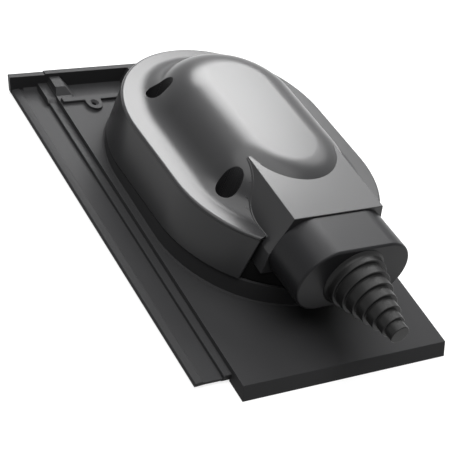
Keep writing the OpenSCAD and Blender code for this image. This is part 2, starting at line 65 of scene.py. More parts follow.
# %% Frames of the hood and of the neck
PITCH = math.radians(3.2)
HOOD_ACROSS, HOOD_ALONG, FIELD_HEIGHT = 128, 198.5, 14
NECK_LENGTH = 50
NOSE_LENGTH = 106.7
NECK_HEIGHT = 76.4
TILE_MIDDLE = Vector((104, 202.478, 0))
hood_frame = (
    Matrix.Translation((Vector((HOOD_ACROSS, 0, FIELD_HEIGHT)) - TILE_MIDDLE) * MM)
    @ Matrix.Rotation(-PITCH, 4, "X")
    @ Matrix.Translation((0, HOOD_ALONG * MM, 0))
)
neck_frame = (
    hood_frame
    @ Matrix.Translation((0, -NOSE_LENGTH * MM, NECK_HEIGHT * MM))
    @ Matrix.Rotation(math.radians(90), 4, "X")
)
print("the hood's front centre is at", [round(c, 4) for c in hood_frame.translation])

# %% [markdown]
# Modelling by hand means going in and out of edit mode and choosing points, edges or faces. These
# helpers do the same in code: they choose by place, so they work without a mouse.

# %% Helpers: edit mode and choosing
def activate(piece):
    """Makes one piece the only selected and active one."""
    bpy.ops.object.select_all(action="DESELECT")
    piece.select_set(True)
    bpy.context.view_layer.objects.active = piece


def edit(piece):
    """Opens a piece in edit mode."""
    activate(piece)
    bpy.ops.object.mode_set(mode="EDIT")


def close_edit():
    """Leaves edit mode."""
    bpy.ops.object.mode_set(mode="OBJECT")


def choose(piece, kind, test):
    """Selects the points, edges or faces whose middle, in millimetres, passes the test."""
    bpy.ops.mesh.select_mode(type=kind)
    bpy.ops.mesh.select_all(action="DESELECT")
    mesh = bmesh.from_edit_mesh(piece.data)
    for part in {"VERT": mesh.verts, "EDGE": mesh.edges, "FACE": mesh.faces}[kind]:
        corners = [part] if kind == "VERT" else part.verts
        if test(sum((corner.co for corner in corners), Vector()) / len(corners) / MM, part):
            part.select_set(True)
    mesh.select_flush_mode()
    bmesh.update_edit_mesh(piece.data)


def move(x=0.0, y=0.0, z=0.0):
    """Moves what is selected, in millimetres."""
    bpy.ops.transform.translate(value=(x * MM, y * MM, z * MM))


# %% [markdown]
# Most of this product is turned or swept: its makers drew one section and ran it round. The helper
# draws such a section as a line. It starts from a plane that is merged to a single point, and extrudes
# that point from place to place. A second helper gives the points of a rounded corner.

# %% Helpers: a drawn line and an arc
def arc(centre, radius, start, end, steps):
    """Points on an arc in a section, from one angle to the other, in degrees."""
    turn = (end - start) / steps
    return [
        (
            centre[0] + radius * math.cos(math.radians(start + turn * step)),
            centre[1] + radius * math.sin(math.radians(start + turn * step)),
        )
        for step in range(steps + 1)
    ]


def draw_section(name, points, along=0.0):
    """Draws a line through points of across and up, at a distance along the run, and stays in edit mode."""
    bpy.ops.object.select_all(action="DESELECT")
    bpy.ops.mesh.primitive_plane_add(size=MM)
    piece = bpy.context.object
    piece.name = piece.data.name = name
    edit(piece)
    bpy.ops.mesh.select_mode(type="VERT")
    bpy.ops.mesh.select_all(action="SELECT")
    bpy.ops.mesh.merge(type="CENTER")
    move(points[0][0], along, points[0][1])
    for here, there in zip(points, points[1:]):
        step = ((there[0] - here[0]) * MM, 0, (there[1] - here[1]) * MM)
        bpy.ops.mesh.extrude_vertices_move(TRANSFORM_OT_translate={"value": step})
    return piece


# %% [markdown]
# The hood, the neck and the hole for the neck all have the same plan: two half turns joined by straight
# sides. Spin makes each half turn, and an extrusion of the last line makes each straight side.

# %% Helpers: a section swept round an oval
def sweep_oval(run, steps):
    """Sweeps the drawn line round an oval whose straight sides have the given length."""
    bpy.ops.mesh.select_all(action="SELECT")
    move(y=run)
    bpy.ops.mesh.spin(steps=steps, angle=-math.pi, center=(0, run * MM, 0), axis=(0, 0, 1))
    bpy.ops.mesh.extrude_edges_move(TRANSFORM_OT_translate={"value": (0, -run * MM, 0)})
    bpy.ops.mesh.spin(steps=steps, angle=-math.pi, center=(0, 0, 0), axis=(0, 0, 1))
    bpy.ops.mesh.extrude_edges_move(TRANSFORM_OT_translate={"value": (0, run * MM, 0)})
    close_shell()


def close_shell():
    """Merges doubled points and turns the faces outwards."""
    bpy.ops.mesh.select_all(action="SELECT")
    bpy.ops.mesh.remove_doubles(threshold=0.002 * MM)
    bpy.ops.mesh.select_all(action="SELECT")
    bpy.ops.mesh.normals_make_consistent(inside=False)


# %% [markdown]
# A mould is cut, so these pieces are cut and joined too. Plain blocks and rods serve as the tools, and
# the exact solver carves with them. Each tool is removed once it has been used.

# %% Helpers: blocks, rods and carving
def carve(body, tool, how):
    """Joins, cuts or keeps what the tool covers, and removes the tool."""
    modifier = body.modifiers.new("carve", "BOOLEAN")
    modifier.operation = how
    modifier.solver = "EXACT"
    modifier.object = tool
    activate(body)
    bpy.ops.object.modifier_apply(modifier=modifier.name)
    bpy.data.objects.remove(tool)


def block(name, low, high):
    """A plain block between two corners in millimetres, used to cut with or to join on."""
    bpy.ops.object.select_all(action="DESELECT")
    size = [(b - a) * MM for a, b in zip(low, high)]
    middle = [(a + b) / 2 * MM for a, b in zip(low, high)]
    bpy.ops.mesh.primitive_cube_add(size=1, location=middle, scale=size)
    bpy.context.object.name = name
    bpy.ops.object.transform_apply(location=True, rotation=True, scale=True)
    return bpy.context.object


def rod(name, place, radius, low, high, sides=64):
    """A plain rod standing at a place in millimetres, used to cut with or to build on."""
    bpy.ops.object.select_all(action="DESELECT")
    bpy.ops.mesh.primitive_cylinder_add(
        vertices=sides, radius=radius * MM, depth=(high - low) * MM,
        location=(place[0] * MM, place[1] * MM, (low + high) / 2 * MM),
    )
    bpy.context.object.name = name
    bpy.ops.object.transform_apply(location=True, rotation=True, scale=True)
    return bpy.context.object


# %% [markdown]
# Carving leaves tiny edges and split faces, and a bevel goes wrong on those. So near points are merged
# first. Then the sharp edges are eased, the normals are weighted by area to keep flat faces flat, and
# the piece takes the place of its node in the model.

# %% Helpers: merging, easing and settling
FLAT_ANGLE = 0.3


def merge_near(piece, near, flats=False):
    """Merges points that lie within a distance in millimetres, and can join flat neighbours too."""
    edit(piece)
    bpy.ops.mesh.select_all(action="SELECT")
    bpy.ops.mesh.remove_doubles(threshold=near * MM)
    if flats:
        bpy.ops.mesh.dissolve_limited(angle_limit=math.radians(FLAT_ANGLE))
    close_edit()


def ease_edges(piece, width, segments, sharp):
    """Bevels each edge that is sharper than the given angle."""
    bevel = piece.modifiers.new("eased", "BEVEL")
    bevel.width = width * MM
    bevel.segments = segments
    bevel.limit_method = "ANGLE"
    bevel.angle_limit = math.radians(sharp)
    bevel.use_clamp_overlap = False
    bevel.miter_outer = "MITER_ARC"
    activate(piece)
    bpy.ops.object.modifier_apply(modifier=bevel.name)


def settle(piece, place, node, slot, sharp):
    """Sets a finished piece in its place, smooths its faces and lets it stand for a node of the model."""
    activate(piece)
    piece.data.transform(place)
    piece.data.update()
    bpy.ops.object.shade_smooth_by_angle(angle=math.radians(sharp))
    even = piece.modifiers.new("even", "WEIGHTED_NORMAL")
    even.keep_sharp = True
    even.weight = 100
    bpy.ops.object.modifier_apply(modifier=even.name)
    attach(piece, "root")
    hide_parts(node)
    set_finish(piece, slot)
    print(piece.name, "has", len(piece.data.polygons), "faces")


# %% [markdown]
# ## The hood
# On the real object the hood is one moulded shell: a crown that swells out of a broad brim, and a
# skirt below it. Its section is two arcs that meet without a crease, then the flat brim, a small
# rounded shoulder and the drafted skirt. The section could be bent out of a block, but a drawn section
# swept round the oval gives a perfectly even surface, which a glossy black shell needs.

# %% Sizes of the hood
HOOD_WALL = 2.5
CROWN_TOP, CROWN_FLAT, CROWN_RADIUS, HOLLOW_RADIUS = 124.5, 32.3, 50.8, 26.2
BRIM_TOP, BRIM_RADIUS, SHOULDER = 82, 118.3, 3
SKIRT_FOOT, SKIRT_RADIUS, SKIRT_LEAN = 29.6, 120.9, 2
BRIM_LIP, LIP_DROP, LEAST_SHOULDER = 0.5, 0.2, 0.5
BRIM_RUN, CROWN_RUN = 84, 87.5
CROWN_STEPS, HOLLOW_STEPS, ROUND_STEPS, TURN_STEPS = 20, 16, 6, 48
PAST, NEAR = 1, 0.01
crown_turn = math.degrees(math.asin(1 - (CROWN_TOP - BRIM_TOP) / (CROWN_RADIUS + HOLLOW_RADIUS)))
hollow_centre = (
    CROWN_FLAT + (CROWN_RADIUS + HOLLOW_RADIUS) * math.cos(math.radians(crown_turn)),
    BRIM_TOP + HOLLOW_RADIUS,
)
print("the crown turns into the hollow at", round(crown_turn, 1), "degrees")

# %% [markdown]
# The same body is needed again and again: as the outside, as the hollow inside it, and as a limit to
# cut other things with. So a function builds it, and an inset makes it smaller. After the sweep the
# crown is pulled back a little further than the brim, and the skirt's foot is leant forward.

# %% The hood's body, outside and inside
def hood_body(name, inset):
    """The closed body of crown, brim and skirt, made smaller by an inset for the inside."""
    shoulder = max(SHOULDER - inset, LEAST_SHOULDER)
    shoulder_place = (BRIM_RADIUS - inset - shoulder, BRIM_TOP - inset - shoulder)
    foot = SKIRT_FOOT - (PAST if inset else 0)
    crown_centre = (CROWN_FLAT, CROWN_TOP - CROWN_RADIUS)
    section = [(0, CROWN_TOP - inset)]
    section += arc(crown_centre, CROWN_RADIUS - inset, 90, crown_turn, CROWN_STEPS)
    section += arc(hollow_centre, HOLLOW_RADIUS + inset, 180 + crown_turn, 270, HOLLOW_STEPS)[1:]
    section += arc(shoulder_place, shoulder, 90, 0, ROUND_STEPS)
    section += [
        (BRIM_RADIUS - BRIM_LIP - inset, BRIM_TOP - inset - shoulder - LIP_DROP),
        (SKIRT_RADIUS - inset, foot),
        (0, foot),
    ]
    body = draw_section(name, section)
    sweep_oval(BRIM_RUN, TURN_STEPS)
    rim = hollow_centre[0] + 0.5
    choose(body, "VERT", lambda p, v: p.z > BRIM_TOP - inset - NEAR and p.y > BRIM_RUN / 2
           and math.hypot(p.x, max(p.y - BRIM_RUN, 0)) < rim)
    move(y=CROWN_RUN - BRIM_RUN)
    choose(body, "VERT", lambda p, v: p.z < foot + NEAR)
    move(y=-SKIRT_LEAN)
    close_edit()
    return body


hood = hood_body("hood", 0)
hollow = hood_body("hood_hollow", HOOD_WALL)
print("the hood's body has", len(hood.data.polygons), "faces")

# %% [markdown]
# The nose is a box with a flat roof that the cables run under. Its sides lean out from the roof and
# then drop straight down as two fins. It is drawn as a section too, filled, extruded to the back and
# tipped up so that its roof runs into the crown. Its long edges get a fine bevel, as moulded edges do.

# %% The nose
NOSE_ROOF, NOSE_TOP, NOSE_WIDE, NOSE_BEND, FIN_FOOT = 55.3, 115.4, 68.2, 72.4, 46.8
NOSE_BACK, NOSE_RISE, NOSE_FACE, NOSE_EDGE = 13, 2.1, 3, 0.7
NOSE_SPARE, ROOF_SHARE, BACK_MARGIN, SHARP_EDGE = 20, 0.7, 5, 0.2


def nose_block(name, inset):
    """The nose from its face to inside the crown, made smaller by an inset for the inside."""
    top, foot = NOSE_TOP - inset, FIN_FOOT - (PAST if inset else 0)
    roof, wide = NOSE_ROOF - ROOF_SHARE * inset, NOSE_WIDE - inset
    right_half = [(roof, top), (wide, NOSE_BEND), (wide, foot)]
    outline = [(-roof, top)] + right_half + [(-wide, foot), (-wide, NOSE_BEND)]
    nose = draw_section(name, outline, -NOSE_LENGTH - NOSE_SPARE)
    bpy.ops.mesh.select_all(action="SELECT")
    bpy.ops.mesh.edge_face_add()
    length = NOSE_LENGTH + NOSE_SPARE - NOSE_BACK
    bpy.ops.mesh.extrude_region_move(TRANSFORM_OT_translate={"value": (0, length * MM, 0)})
    close_shell()
    close_edit()
    hinge = Matrix.Translation((0, -NOSE_LENGTH * MM, 0))
    nose.data.transform(hinge @ Matrix.Rotation(math.radians(NOSE_RISE), 4, "X") @ hinge.inverted())
    face = -NOSE_LENGTH + (NOSE_FACE if inset else 0)
    edit(nose)
    bpy.ops.mesh.select_all(action="SELECT")
    bpy.ops.mesh.bisect(plane_co=(0, face * MM, 0), plane_no=(0, 1, 0), use_fill=True, clear_inner=True)
    if not inset:
        choose(nose, "EDGE", lambda p, e: p.y < -NOSE_BACK - BACK_MARGIN
               and e.calc_face_angle(0) > SHARP_EDGE)
        bpy.ops.mesh.bevel(offset=NOSE_EDGE * MM, segments=3, profile=0.5)
    close_shell()
    close_edit()
    return nose


nose = nose_block("nose", 0)
nose_hollow = nose_block("nose_hollow", HOOD_WALL)
print("the nose has", len(nose.data.polygons), "faces")

# %% [markdown]
# Brim and skirt stop at a flat cut, and the nose is joined on there. A thin raised bead follows the
# crease between the nose and the brim. It could be swept along the crease, but that is a curve without
# a simple formula. What a slightly wider nose and a slightly larger body have in common follows it by
# itself.

# %% Join the nose and its bead to the hood
FAR = 300
NOSE_CUT = 92.6
BEAD_HEIGHT, BEAD_SPREAD, BEAD_DROP = 0.9, 1.02, 1.2
carve(hood, block("front", (-FAR, -FAR, -FAR), (FAR, -NOSE_CUT, FAR)), "DIFFERENCE")
carve(hood, nose, "UNION")
bead = nose_block("bead", 0)
wider = Matrix.Scale(BEAD_SPREAD, 4, (1, 0, 0))
bead.data.transform(Matrix.Translation((0, 0, -BEAD_DROP * MM)) @ wider)
carve(bead, hood_body("bead_top", -BEAD_HEIGHT), "INTERSECT")
carve(bead, block("bead_low", (-FAR, -FAR, -FAR), (FAR, FAR, BRIM_TOP - PAST)), "DIFFERENCE")
carve(bead, block("bead_front", (-FAR, -FAR, -FAR), (FAR, -NOSE_CUT, FAR)), "DIFFERENCE")
carve(hood, bead, "UNION")
print("with its nose the hood has", len(hood.data.polygons), "faces")

# %% [markdown]
# Then the hollow is taken out. It ends early beside the nose, which leaves the cheeks there, and an open
# recess between each fin and the skirt.

# %% Hollow the hood out
RECESS, SKIRT_EDGE = 8, 1
CARRIER_TOP = 50.2
back = -NOSE_CUT + RECESS + HOOD_WALL
carve(hollow, block("cheeks", (-FAR, -FAR, CARRIER_TOP), (FAR, back, FAR)), "DIFFERENCE")
carve(hollow, block("cheeks", (-NOSE_WIDE, -FAR, FIN_FOOT), (NOSE_WIDE, back, FAR)), "DIFFERENCE")
carve(hood, hollow, "DIFFERENCE")
carve(hood, nose_hollow, "DIFFERENCE")
recess = hood_body("recess", SKIRT_EDGE)
recess_top = BRIM_TOP - SHOULDER - LEAST_SHOULDER
carve(recess, block("crown_off", (-FAR, -FAR, recess_top), (FAR, FAR, FAR)), "DIFFERENCE")
carve(recess, block("front_only", (-FAR, -NOSE_CUT + RECESS, -FAR), (FAR, FAR, FAR)), "DIFFERENCE")
carve(recess, block("between", (-NOSE_WIDE, -FAR, -FAR), (NOSE_WIDE, FAR, FAR)), "DIFFERENCE")
carve(hood, recess, "DIFFERENCE")
print("the hollow hood has", len(hood.data.polygons), "faces")

# %% [markdown]
# Four deep pockets let a screwdriver reach the hood's screws. Each is a round well with its own wall,
# which stands inside the hood like a tube. The tubes are cut to the crown's shape before they are
# joined on, so nothing of them shows outside.

# %% Screw pockets
POCKET, POCKET_WALL, POCKET_FLOOR, POCKET_FOOT, SCREW_HOLE, HOLE_SIDES = 11.2, 2, 62, 59.5, 2.6, 24
FRONT_POCKET, REAR_POCKET = (74.7, -26.2), (70, CROWN_RUN + 38.5)
TUBE_INSET, WELL_TOP = 0.3, CROWN_TOP + 5
pockets = [(side * across, along) for across, along in (FRONT_POCKET, REAR_POCKET) for side in (-1, 1)]
for place in pockets:
    tube = rod("tube", place, POCKET + POCKET_WALL, POCKET_FOOT, CROWN_TOP)
    carve(tube, hood_body("limit", TUBE_INSET), "INTERSECT")
    carve(hood, tube, "UNION")
for place in pockets:
    carve(hood, rod("well", place, POCKET, POCKET_FLOOR, WELL_TOP), "DIFFERENCE")
    hole = rod("hole", place, SCREW_HOLE, POCKET_FOOT - PAST, POCKET_FLOOR + PAST, HOLE_SIDES)
    carve(hood, hole, "DIFFERENCE")
print("pockets at", pockets)

# %% [markdown]
# The neck's spigot goes through an oval hole in the nose's face. With that cut, the hood is whole. All
# its edges are eased by less than half a millimetre, which is what draws their lines of light.

# %% The hole for the neck, and the hood in its place
SPIGOT, SPIGOT_PLAY, SPIGOT_REACH, NECK_RUN, SPIGOT_STEPS = 32.4, 0.4, 5, 59.5, 32
hole_radius = SPIGOT + SPIGOT_PLAY
hole_line = [(0, SPIGOT_REACH), (hole_radius, SPIGOT_REACH), (hole_radius, -SPIGOT_REACH), (0, -SPIGOT_REACH)]
spigot_hole = draw_section("spigot_hole", hole_line)
sweep_oval(NECK_RUN, SPIGOT_STEPS)
close_edit()
across = Matrix.Rotation(math.radians(-90), 4, "Z")
neck_centre = Matrix.Translation((-NECK_RUN / 2 * MM, 0, 0)) @ across
spigot_hole.data.transform(hood_frame.inverted() @ neck_frame @ neck_centre)
carve(hood, spigot_hole, "DIFFERENCE")
merge_near(hood, near=0.03)
ease_edges(hood, width=0.4, segments=2, sharp=35)
settle(hood, hood_frame, "hood_cover", "hood_plastic", sharp=28)

# %% [markdown]
# ## The neck
# The neck is a short oval duct. Its spigot snaps through the nose's face, and its front plate holds the
# boot. One section makes it all: plate, rounded front edge, wall and spigot. The edge at the nose is
# eased a little too, and catches a line of light.

# %% The neck
NECK, NECK_WALL, NECK_EDGE, NECK_EASE, SPIGOT_LENGTH = 37.4, 3, 2.5, 0.8, 9
BOOT_BORE, BORE_SIDES, EASE_STEPS = 28, 96, 3
section = [(0, NECK_LENGTH)]
section += arc((NECK - NECK_EDGE, NECK_LENGTH - NECK_EDGE), NECK_EDGE, 90, 0, ROUND_STEPS)
section += arc((NECK - NECK_EASE, NECK_EASE), NECK_EASE, 0, -90, EASE_STEPS)
section += [(SPIGOT, 0), (SPIGOT, -SPIGOT_LENGTH), (SPIGOT - NECK_WALL, -SPIGOT_LENGTH)]
section += [(SPIGOT - NECK_WALL, NECK_WALL), (NECK - NECK_WALL, NECK_WALL)]
section += [(NECK - NECK_WALL, NECK_LENGTH - NECK_WALL), (0, NECK_LENGTH - NECK_WALL)]
neck = draw_section("neck", section)
sweep_oval(NECK_RUN, TURN_STEPS)
close_edit()
neck.data.transform(neck_centre)
bore = rod("bore", (0, 0), BOOT_BORE, NECK_LENGTH - 2 * NECK_WALL, NECK_LENGTH + NECK_WALL, BORE_SIDES)
carve(neck, bore, "DIFFERENCE")
settle(neck, neck_frame, "entry_neck", "neck_plastic", sharp=30)

# %% [markdown]
# ## The boot
# The boot is soft rubber, stepped so that the fitter cuts it where it suits the cables. It is a turned
# shape, so its section is drawn from the closed tip to the groove that grips the neck's plate, and spun
# once round. Each ring's front edge is rounded, as rubber always is, and the first ring flares out.

# %% The boot's section
RING, RING_DROP, RING_LENGTH, FIRST_RING, RINGS = 31.1, 3.7, 11.8, 9.8, 6
BASE, BASE_THICK, BASE_EDGE, FLARE, FLARE_START = 34.5, 1, 0.4, 4.2, 235
TIP, TIP_LENGTH, TIP_ROUND, RUBBER = 10.2, 10.8, 0.9, 2
RING_ROUND, RING_STEPS, CORNER = 1.0, 4, 0.3
GROOVE, GRIP, GRIP_FRONT, GRIP_BACK = 27.8, 31, -3.2, -5.7
ring_ends = [BASE_THICK + FIRST_RING + RING_LENGTH * ring for ring in range(RINGS)]
tip_end = ring_ends[-1] + TIP_LENGTH
outside = [(GROOVE, 0), (BASE - BASE_EDGE, 0)]
outside += arc((BASE - BASE_EDGE, BASE_EDGE), BASE_EDGE, -90, 45, EASE_STEPS)[1:]
outside += arc((RING + FLARE, BASE_THICK + FLARE), FLARE, FLARE_START, 180, ROUND_STEPS)
for ring, end in enumerate(ring_ends):
    radius = RING - RING_DROP * ring
    outside += arc((radius - RING_ROUND, end - RING_ROUND), RING_ROUND, 0, 90, RING_STEPS)
    inner = RING - RING_DROP * (ring + 1) if ring < RINGS - 1 else TIP
    outside += [(inner + CORNER, end), (inner, end + CORNER)]
outside += arc((TIP - TIP_ROUND, tip_end - TIP_ROUND), TIP_ROUND, 0, 90, RING_STEPS) + [(0, tip_end)]
tip_inside = TIP - RUBBER
inside = [(0, tip_end - RUBBER), (tip_inside, tip_end - RUBBER), (tip_inside, ring_ends[-1] - RUBBER)]
for ring in range(RINGS - 1, -1, -1):
    radius = RING - RING_DROP * ring - RUBBER
    start = ring_ends[ring - 1] - RUBBER if ring else BASE_THICK
    inside += [(radius, ring_ends[ring] - RUBBER), (radius, start)]
flange = [(GROOVE - RUBBER, BASE_THICK), (GROOVE - RUBBER, GRIP_BACK), (GRIP, GRIP_BACK)]
flange += [(GRIP, GRIP_FRONT), (GROOVE, GRIP_FRONT), (GROOVE, 0)]
print("the boot is", round(tip_end, 1), "mm long")

# %% [markdown]
# The section is closed, so one full spin makes a closed shell with an inside, and only the doubled
# points at the seam and on the axis are left to merge.

# %% The boot, spun and set in the neck's plate
BOOT_STEPS = 96
boot = draw_section("boot", outside + inside + flange)
bpy.ops.mesh.select_all(action="SELECT")
bpy.ops.mesh.spin(steps=BOOT_STEPS, angle=2 * math.pi, center=(0, 0, 0), axis=(0, 0, 1))
close_shell()
close_edit()
boot_frame = neck_frame @ Matrix.Translation((0, 0, NECK_LENGTH * MM))
settle(boot, boot_frame, "cable_boot", "boot_rubber", sharp=40)

# %% [markdown]
# ## The tile
# The tile's solid has all its ribs and pans, but its edges are knife sharp, and no moulded tile has
# such edges. So its mesh is copied, and the copy's triangles are merged back into whole faces.

# %% A clean copy of the tile
def copy_of(node, name):
    """A separate copy of a node's mesh, merged and cleaned into whole faces."""
    piece = bpy.data.objects.new(name, nodes[node].data.copy())
    bpy.context.scene.collection.objects.link(piece)
    activate(piece)
    bpy.ops.mesh.customdata_custom_splitnormals_clear()
    merge_near(piece, near=0.01, flats=True)
    return piece


def tile_block(name, low, high):
    """A block between two corners that are measured from the field's front left corner."""
    return block(name, Vector(low) - TILE_MIDDLE, Vector(high) - TILE_MIDDLE)


tile = copy_of("base_tile", "tile")
print("the tile's copy has", len(tile.data.polygons), "faces")

# %% [markdown]
# The joint strip's inner rib is closed at its front end by a small web, and the step at its rear end is
# a low ledge, so what stands higher or further out there is cut away.

# %% The strip's end and the ledge
LEDGE_TOP = 12
WEB = ((-9.2, 18.3, 2), (1, 21.5, 9))
ABOVE_LEDGE = ((-13.5, 409, LEDGE_TOP), (-0.2, 431.5, 17))
BESIDE_LEDGE = ((-13.5, 409, 5.5), (-10.8, 428, LEDGE_TOP + 1))
carve(tile, tile_block("end_web", *WEB), "UNION")
carve(tile, tile_block("ledge_top", *ABOVE_LEDGE), "DIFFERENCE")
carve(tile, tile_block("ledge_side", *BESIDE_LEDGE), "DIFFERENCE")
print("with its web and ledge the tile has", len(tile.data.polygons), "faces")

# %% [markdown]
# In the corner of the left pan the nib is one solid block. Its right side is the pan's slope and its
# front is raked. The block's foot is spread for the slope, and a slanted tool cuts the rake.

# %% The nib beside the left pan
PLATE_FOOT, PLATE_TOP, NIB_TOP, LIP_TOP = 11, 14, 20.6, 26
PAN_FRONT, RIM_FACE, NIB_LEFT, NIB_RIGHT, NIB_SPREAD = 403.6, 434.2, 0.3, 12, 9.5
RAKE_FOOT, RAKE = 410.5, 13.1
PAN_SEAT = ((10.5, PAN_FRONT - 1, PLATE_FOOT), (16.5, RIM_FACE + 1, PLATE_TOP))
NIB = ((NIB_LEFT, PAN_FRONT, PLATE_FOOT), (NIB_RIGHT, RIM_FACE + 0.5, NIB_TOP))
LIP = ((-0.5, PAN_FRONT, NIB_TOP), (13.5, RIM_FACE, LIP_TOP))
RAKE_TOOL = ((-0.5, PAN_FRONT, PLATE_TOP), (22, RAKE_FOOT, LIP_TOP))
SHARD = ((4, PAN_FRONT - 2, 18), (16, PAN_FRONT + 0.1, LIP_TOP))
carve(tile, tile_block("pan_seat", *PAN_SEAT), "UNION")
nib = tile_block("nib", *NIB)
edit(nib)
choose(nib, "VERT", lambda p, v: p.x > NIB_RIGHT - 1 - TILE_MIDDLE.x and p.z < PLATE_FOOT + 1)
move(x=NIB_SPREAD)
close_edit()
carve(tile, nib, "UNION")
carve(tile, tile_block("lip", *LIP), "DIFFERENCE")
rake = tile_block("rake", *RAKE_TOOL)
edit(rake)
choose(rake, "VERT", lambda p, v: p.y > RAKE_FOOT - 1 - TILE_MIDDLE.y and p.z > PLATE_TOP + 1)
move(y=RAKE)
close_edit()
carve(tile, rake, "DIFFERENCE")
carve(tile, tile_block("shard", *SHARD), "DIFFERENCE")
print("with its nib the tile has", len(tile.data.polygons), "faces")

# %% [markdown]
# Every sharp edge gets a small bevel. Those bevels draw the thin lines of light along the ribs and the
# rim. The angle limit lies above 45 degrees, so the tile's chamfers stay as crisp as they are.

# %% The tile with eased edges
merge_near(tile, near=0.06, flats=True)
ease_edges(tile, width=0.5, segments=2, sharp=50)
settle(tile, Matrix.Identity(4), "base_tile", "tile_plastic", sharp=35)

# %% [markdown]
# ## Finishes
# All the plastics share one effect: a fine moulded grain. It is a node group with named sockets, built
# once and used with its own numbers in each material. It gives a colour that hardly varies, a roughness
# that drifts slowly over the surface, and a normal with the tiny bumps of a spark-eroded mould.

# %% The grain group's sockets
GRAIN_INPUTS = {
    "Color": ("NodeSocketColor", (0.05, 0.05, 0.05, 1)),
    "Variation": ("NodeSocketFloat", 0.1),
    "Roughness": ("NodeSocketFloat", 0.4),
    "Grain Size": ("NodeSocketFloat", 0.5),
    "Grain Depth": ("NodeSocketFloat", 0.1),
}
GRAIN_OUTPUTS = {"Color": "NodeSocketColor", "Roughness": "NodeSocketFloat", "Normal": "NodeSocketVector"}
grain_group = bpy.data.node_groups.new("moulded grain", "ShaderNodeTree")
for name, (kind, value) in GRAIN_INPUTS.items():
    grain_group.interface.new_socket(name=name, in_out="INPUT", socket_type=kind).default_value = value
for name, kind in GRAIN_OUTPUTS.items():
    grain_group.interface.new_socket(name=name, in_out="OUTPUT", socket_type=kind)
print("the grain group takes", list(GRAIN_INPUTS), "and gives", list(GRAIN_OUTPUTS))

# %% [markdown]
# Inside the group, one slow noise makes the colour and the roughness drift together, and one fine noise
# is the grain itself. The grain's size is given in millimetres, so its scale is that size divided into
# a metre.

# %% The grain group's nodes
DRIFT_SCALE, DRIFT_DETAIL, GRAIN_DETAIL, GRAIN_HEIGHT = 14, 3, 2, 0.1


def math_node(tree, operation, *sources):
    """A math node that takes its first values from other nodes."""
    node = tree.nodes.new("ShaderNodeMath")
    node.operation = operation
    for source, socket in zip(sources, node.inputs):
        tree.links.new(source, socket)
    return node


def noise_node(tree, place, detail):
    """A noise that lies on the object itself."""
    noise = tree.nodes.new("ShaderNodeTexNoise")
    noise.inputs["Detail"].default_value = detail
    tree.links.new(place.outputs["Object"], noise.inputs["Vector"])
    return noise


def fill_grain(group):
    """Builds colour, roughness and normal inside the group."""
    add, join = group.nodes.new, group.links.new
    given, result, place = add("NodeGroupInput"), add("NodeGroupOutput"), add("ShaderNodeTexCoord")
    drift = noise_node(group, place, DRIFT_DETAIL)
    drift.inputs["Scale"].default_value = DRIFT_SCALE
    shade = add("ShaderNodeMapRange")
    shade.inputs["To Min"].default_value = -1
    join(drift.outputs["Fac"], shade.inputs["Value"])
    amount = math_node(group, "MULTIPLY_ADD", shade.outputs["Result"], given.outputs["Variation"])
    amount.inputs[2].default_value = 1
    tint = add("ShaderNodeVectorMath")
    tint.operation = "SCALE"
    join(given.outputs["Color"], tint.inputs[0])
    join(amount.outputs[0], tint.inputs["Scale"])
    join(tint.outputs["Vector"], result.inputs["Color"])
    rough = math_node(group, "MULTIPLY", amount.outputs[0], given.outputs["Roughness"])
    rough.use_clamp = True
    join(rough.outputs[0], result.inputs["Roughness"])
    grain = noise_node(group, place, GRAIN_DETAIL)
    size = math_node(group, "DIVIDE")
    size.inputs[0].default_value = 1 / MM
    join(given.outputs["Grain Size"], size.inputs[1])
    join(size.outputs[0], grain.inputs["Scale"])
    bump = add("ShaderNodeBump")
    bump.inputs["Distance"].default_value = GRAIN_HEIGHT * MM
    join(given.outputs["Grain Depth"], bump.inputs["Strength"])
    join(grain.outputs["Fac"], bump.inputs["Height"])
    join(bump.outputs["Normal"], result.inputs["Normal"])


fill_grain(grain_group)
print("the grain group has", len(grain_group.nodes), "nodes")

# %% [markdown]
# Each finish is the same recipe with its own numbers. The hood is the glossiest of the plastics, the
# tile, the neck and the carrier are duller, and the boot's rubber has a soft sheen. Values that don't
# vary, such as the reflectance, are set on the shader itself.

# %% The finishes
def finish_of(name, color, variation, rough, size, depth, specular, metallic=0.0):
    """A material that takes its colour, roughness and normal from the grain group."""
    material = bpy.data.materials.new(name)
    material.use_nodes = True
    nodes_of, links = material.node_tree.nodes, material.node_tree.links
    shader = nodes_of["Principled BSDF"]
    group = nodes_of.new("ShaderNodeGroup")
    group.node_tree = grain_group
    values = {"Variation": variation, "Roughness": rough, "Grain Size": size, "Grain Depth": depth}
    for socket, value in values.items():
        group.inputs[socket].default_value = value
    group.inputs["Color"].default_value = (*color, 1)
    links.new(group.outputs["Color"], shader.inputs["Base Color"])
    links.new(group.outputs["Roughness"], shader.inputs["Roughness"])
    links.new(group.outputs["Normal"], shader.inputs["Normal"])
    shader.inputs["Specular IOR Level"].default_value = specular
    shader.inputs["Metallic"].default_value = metallic
    return material


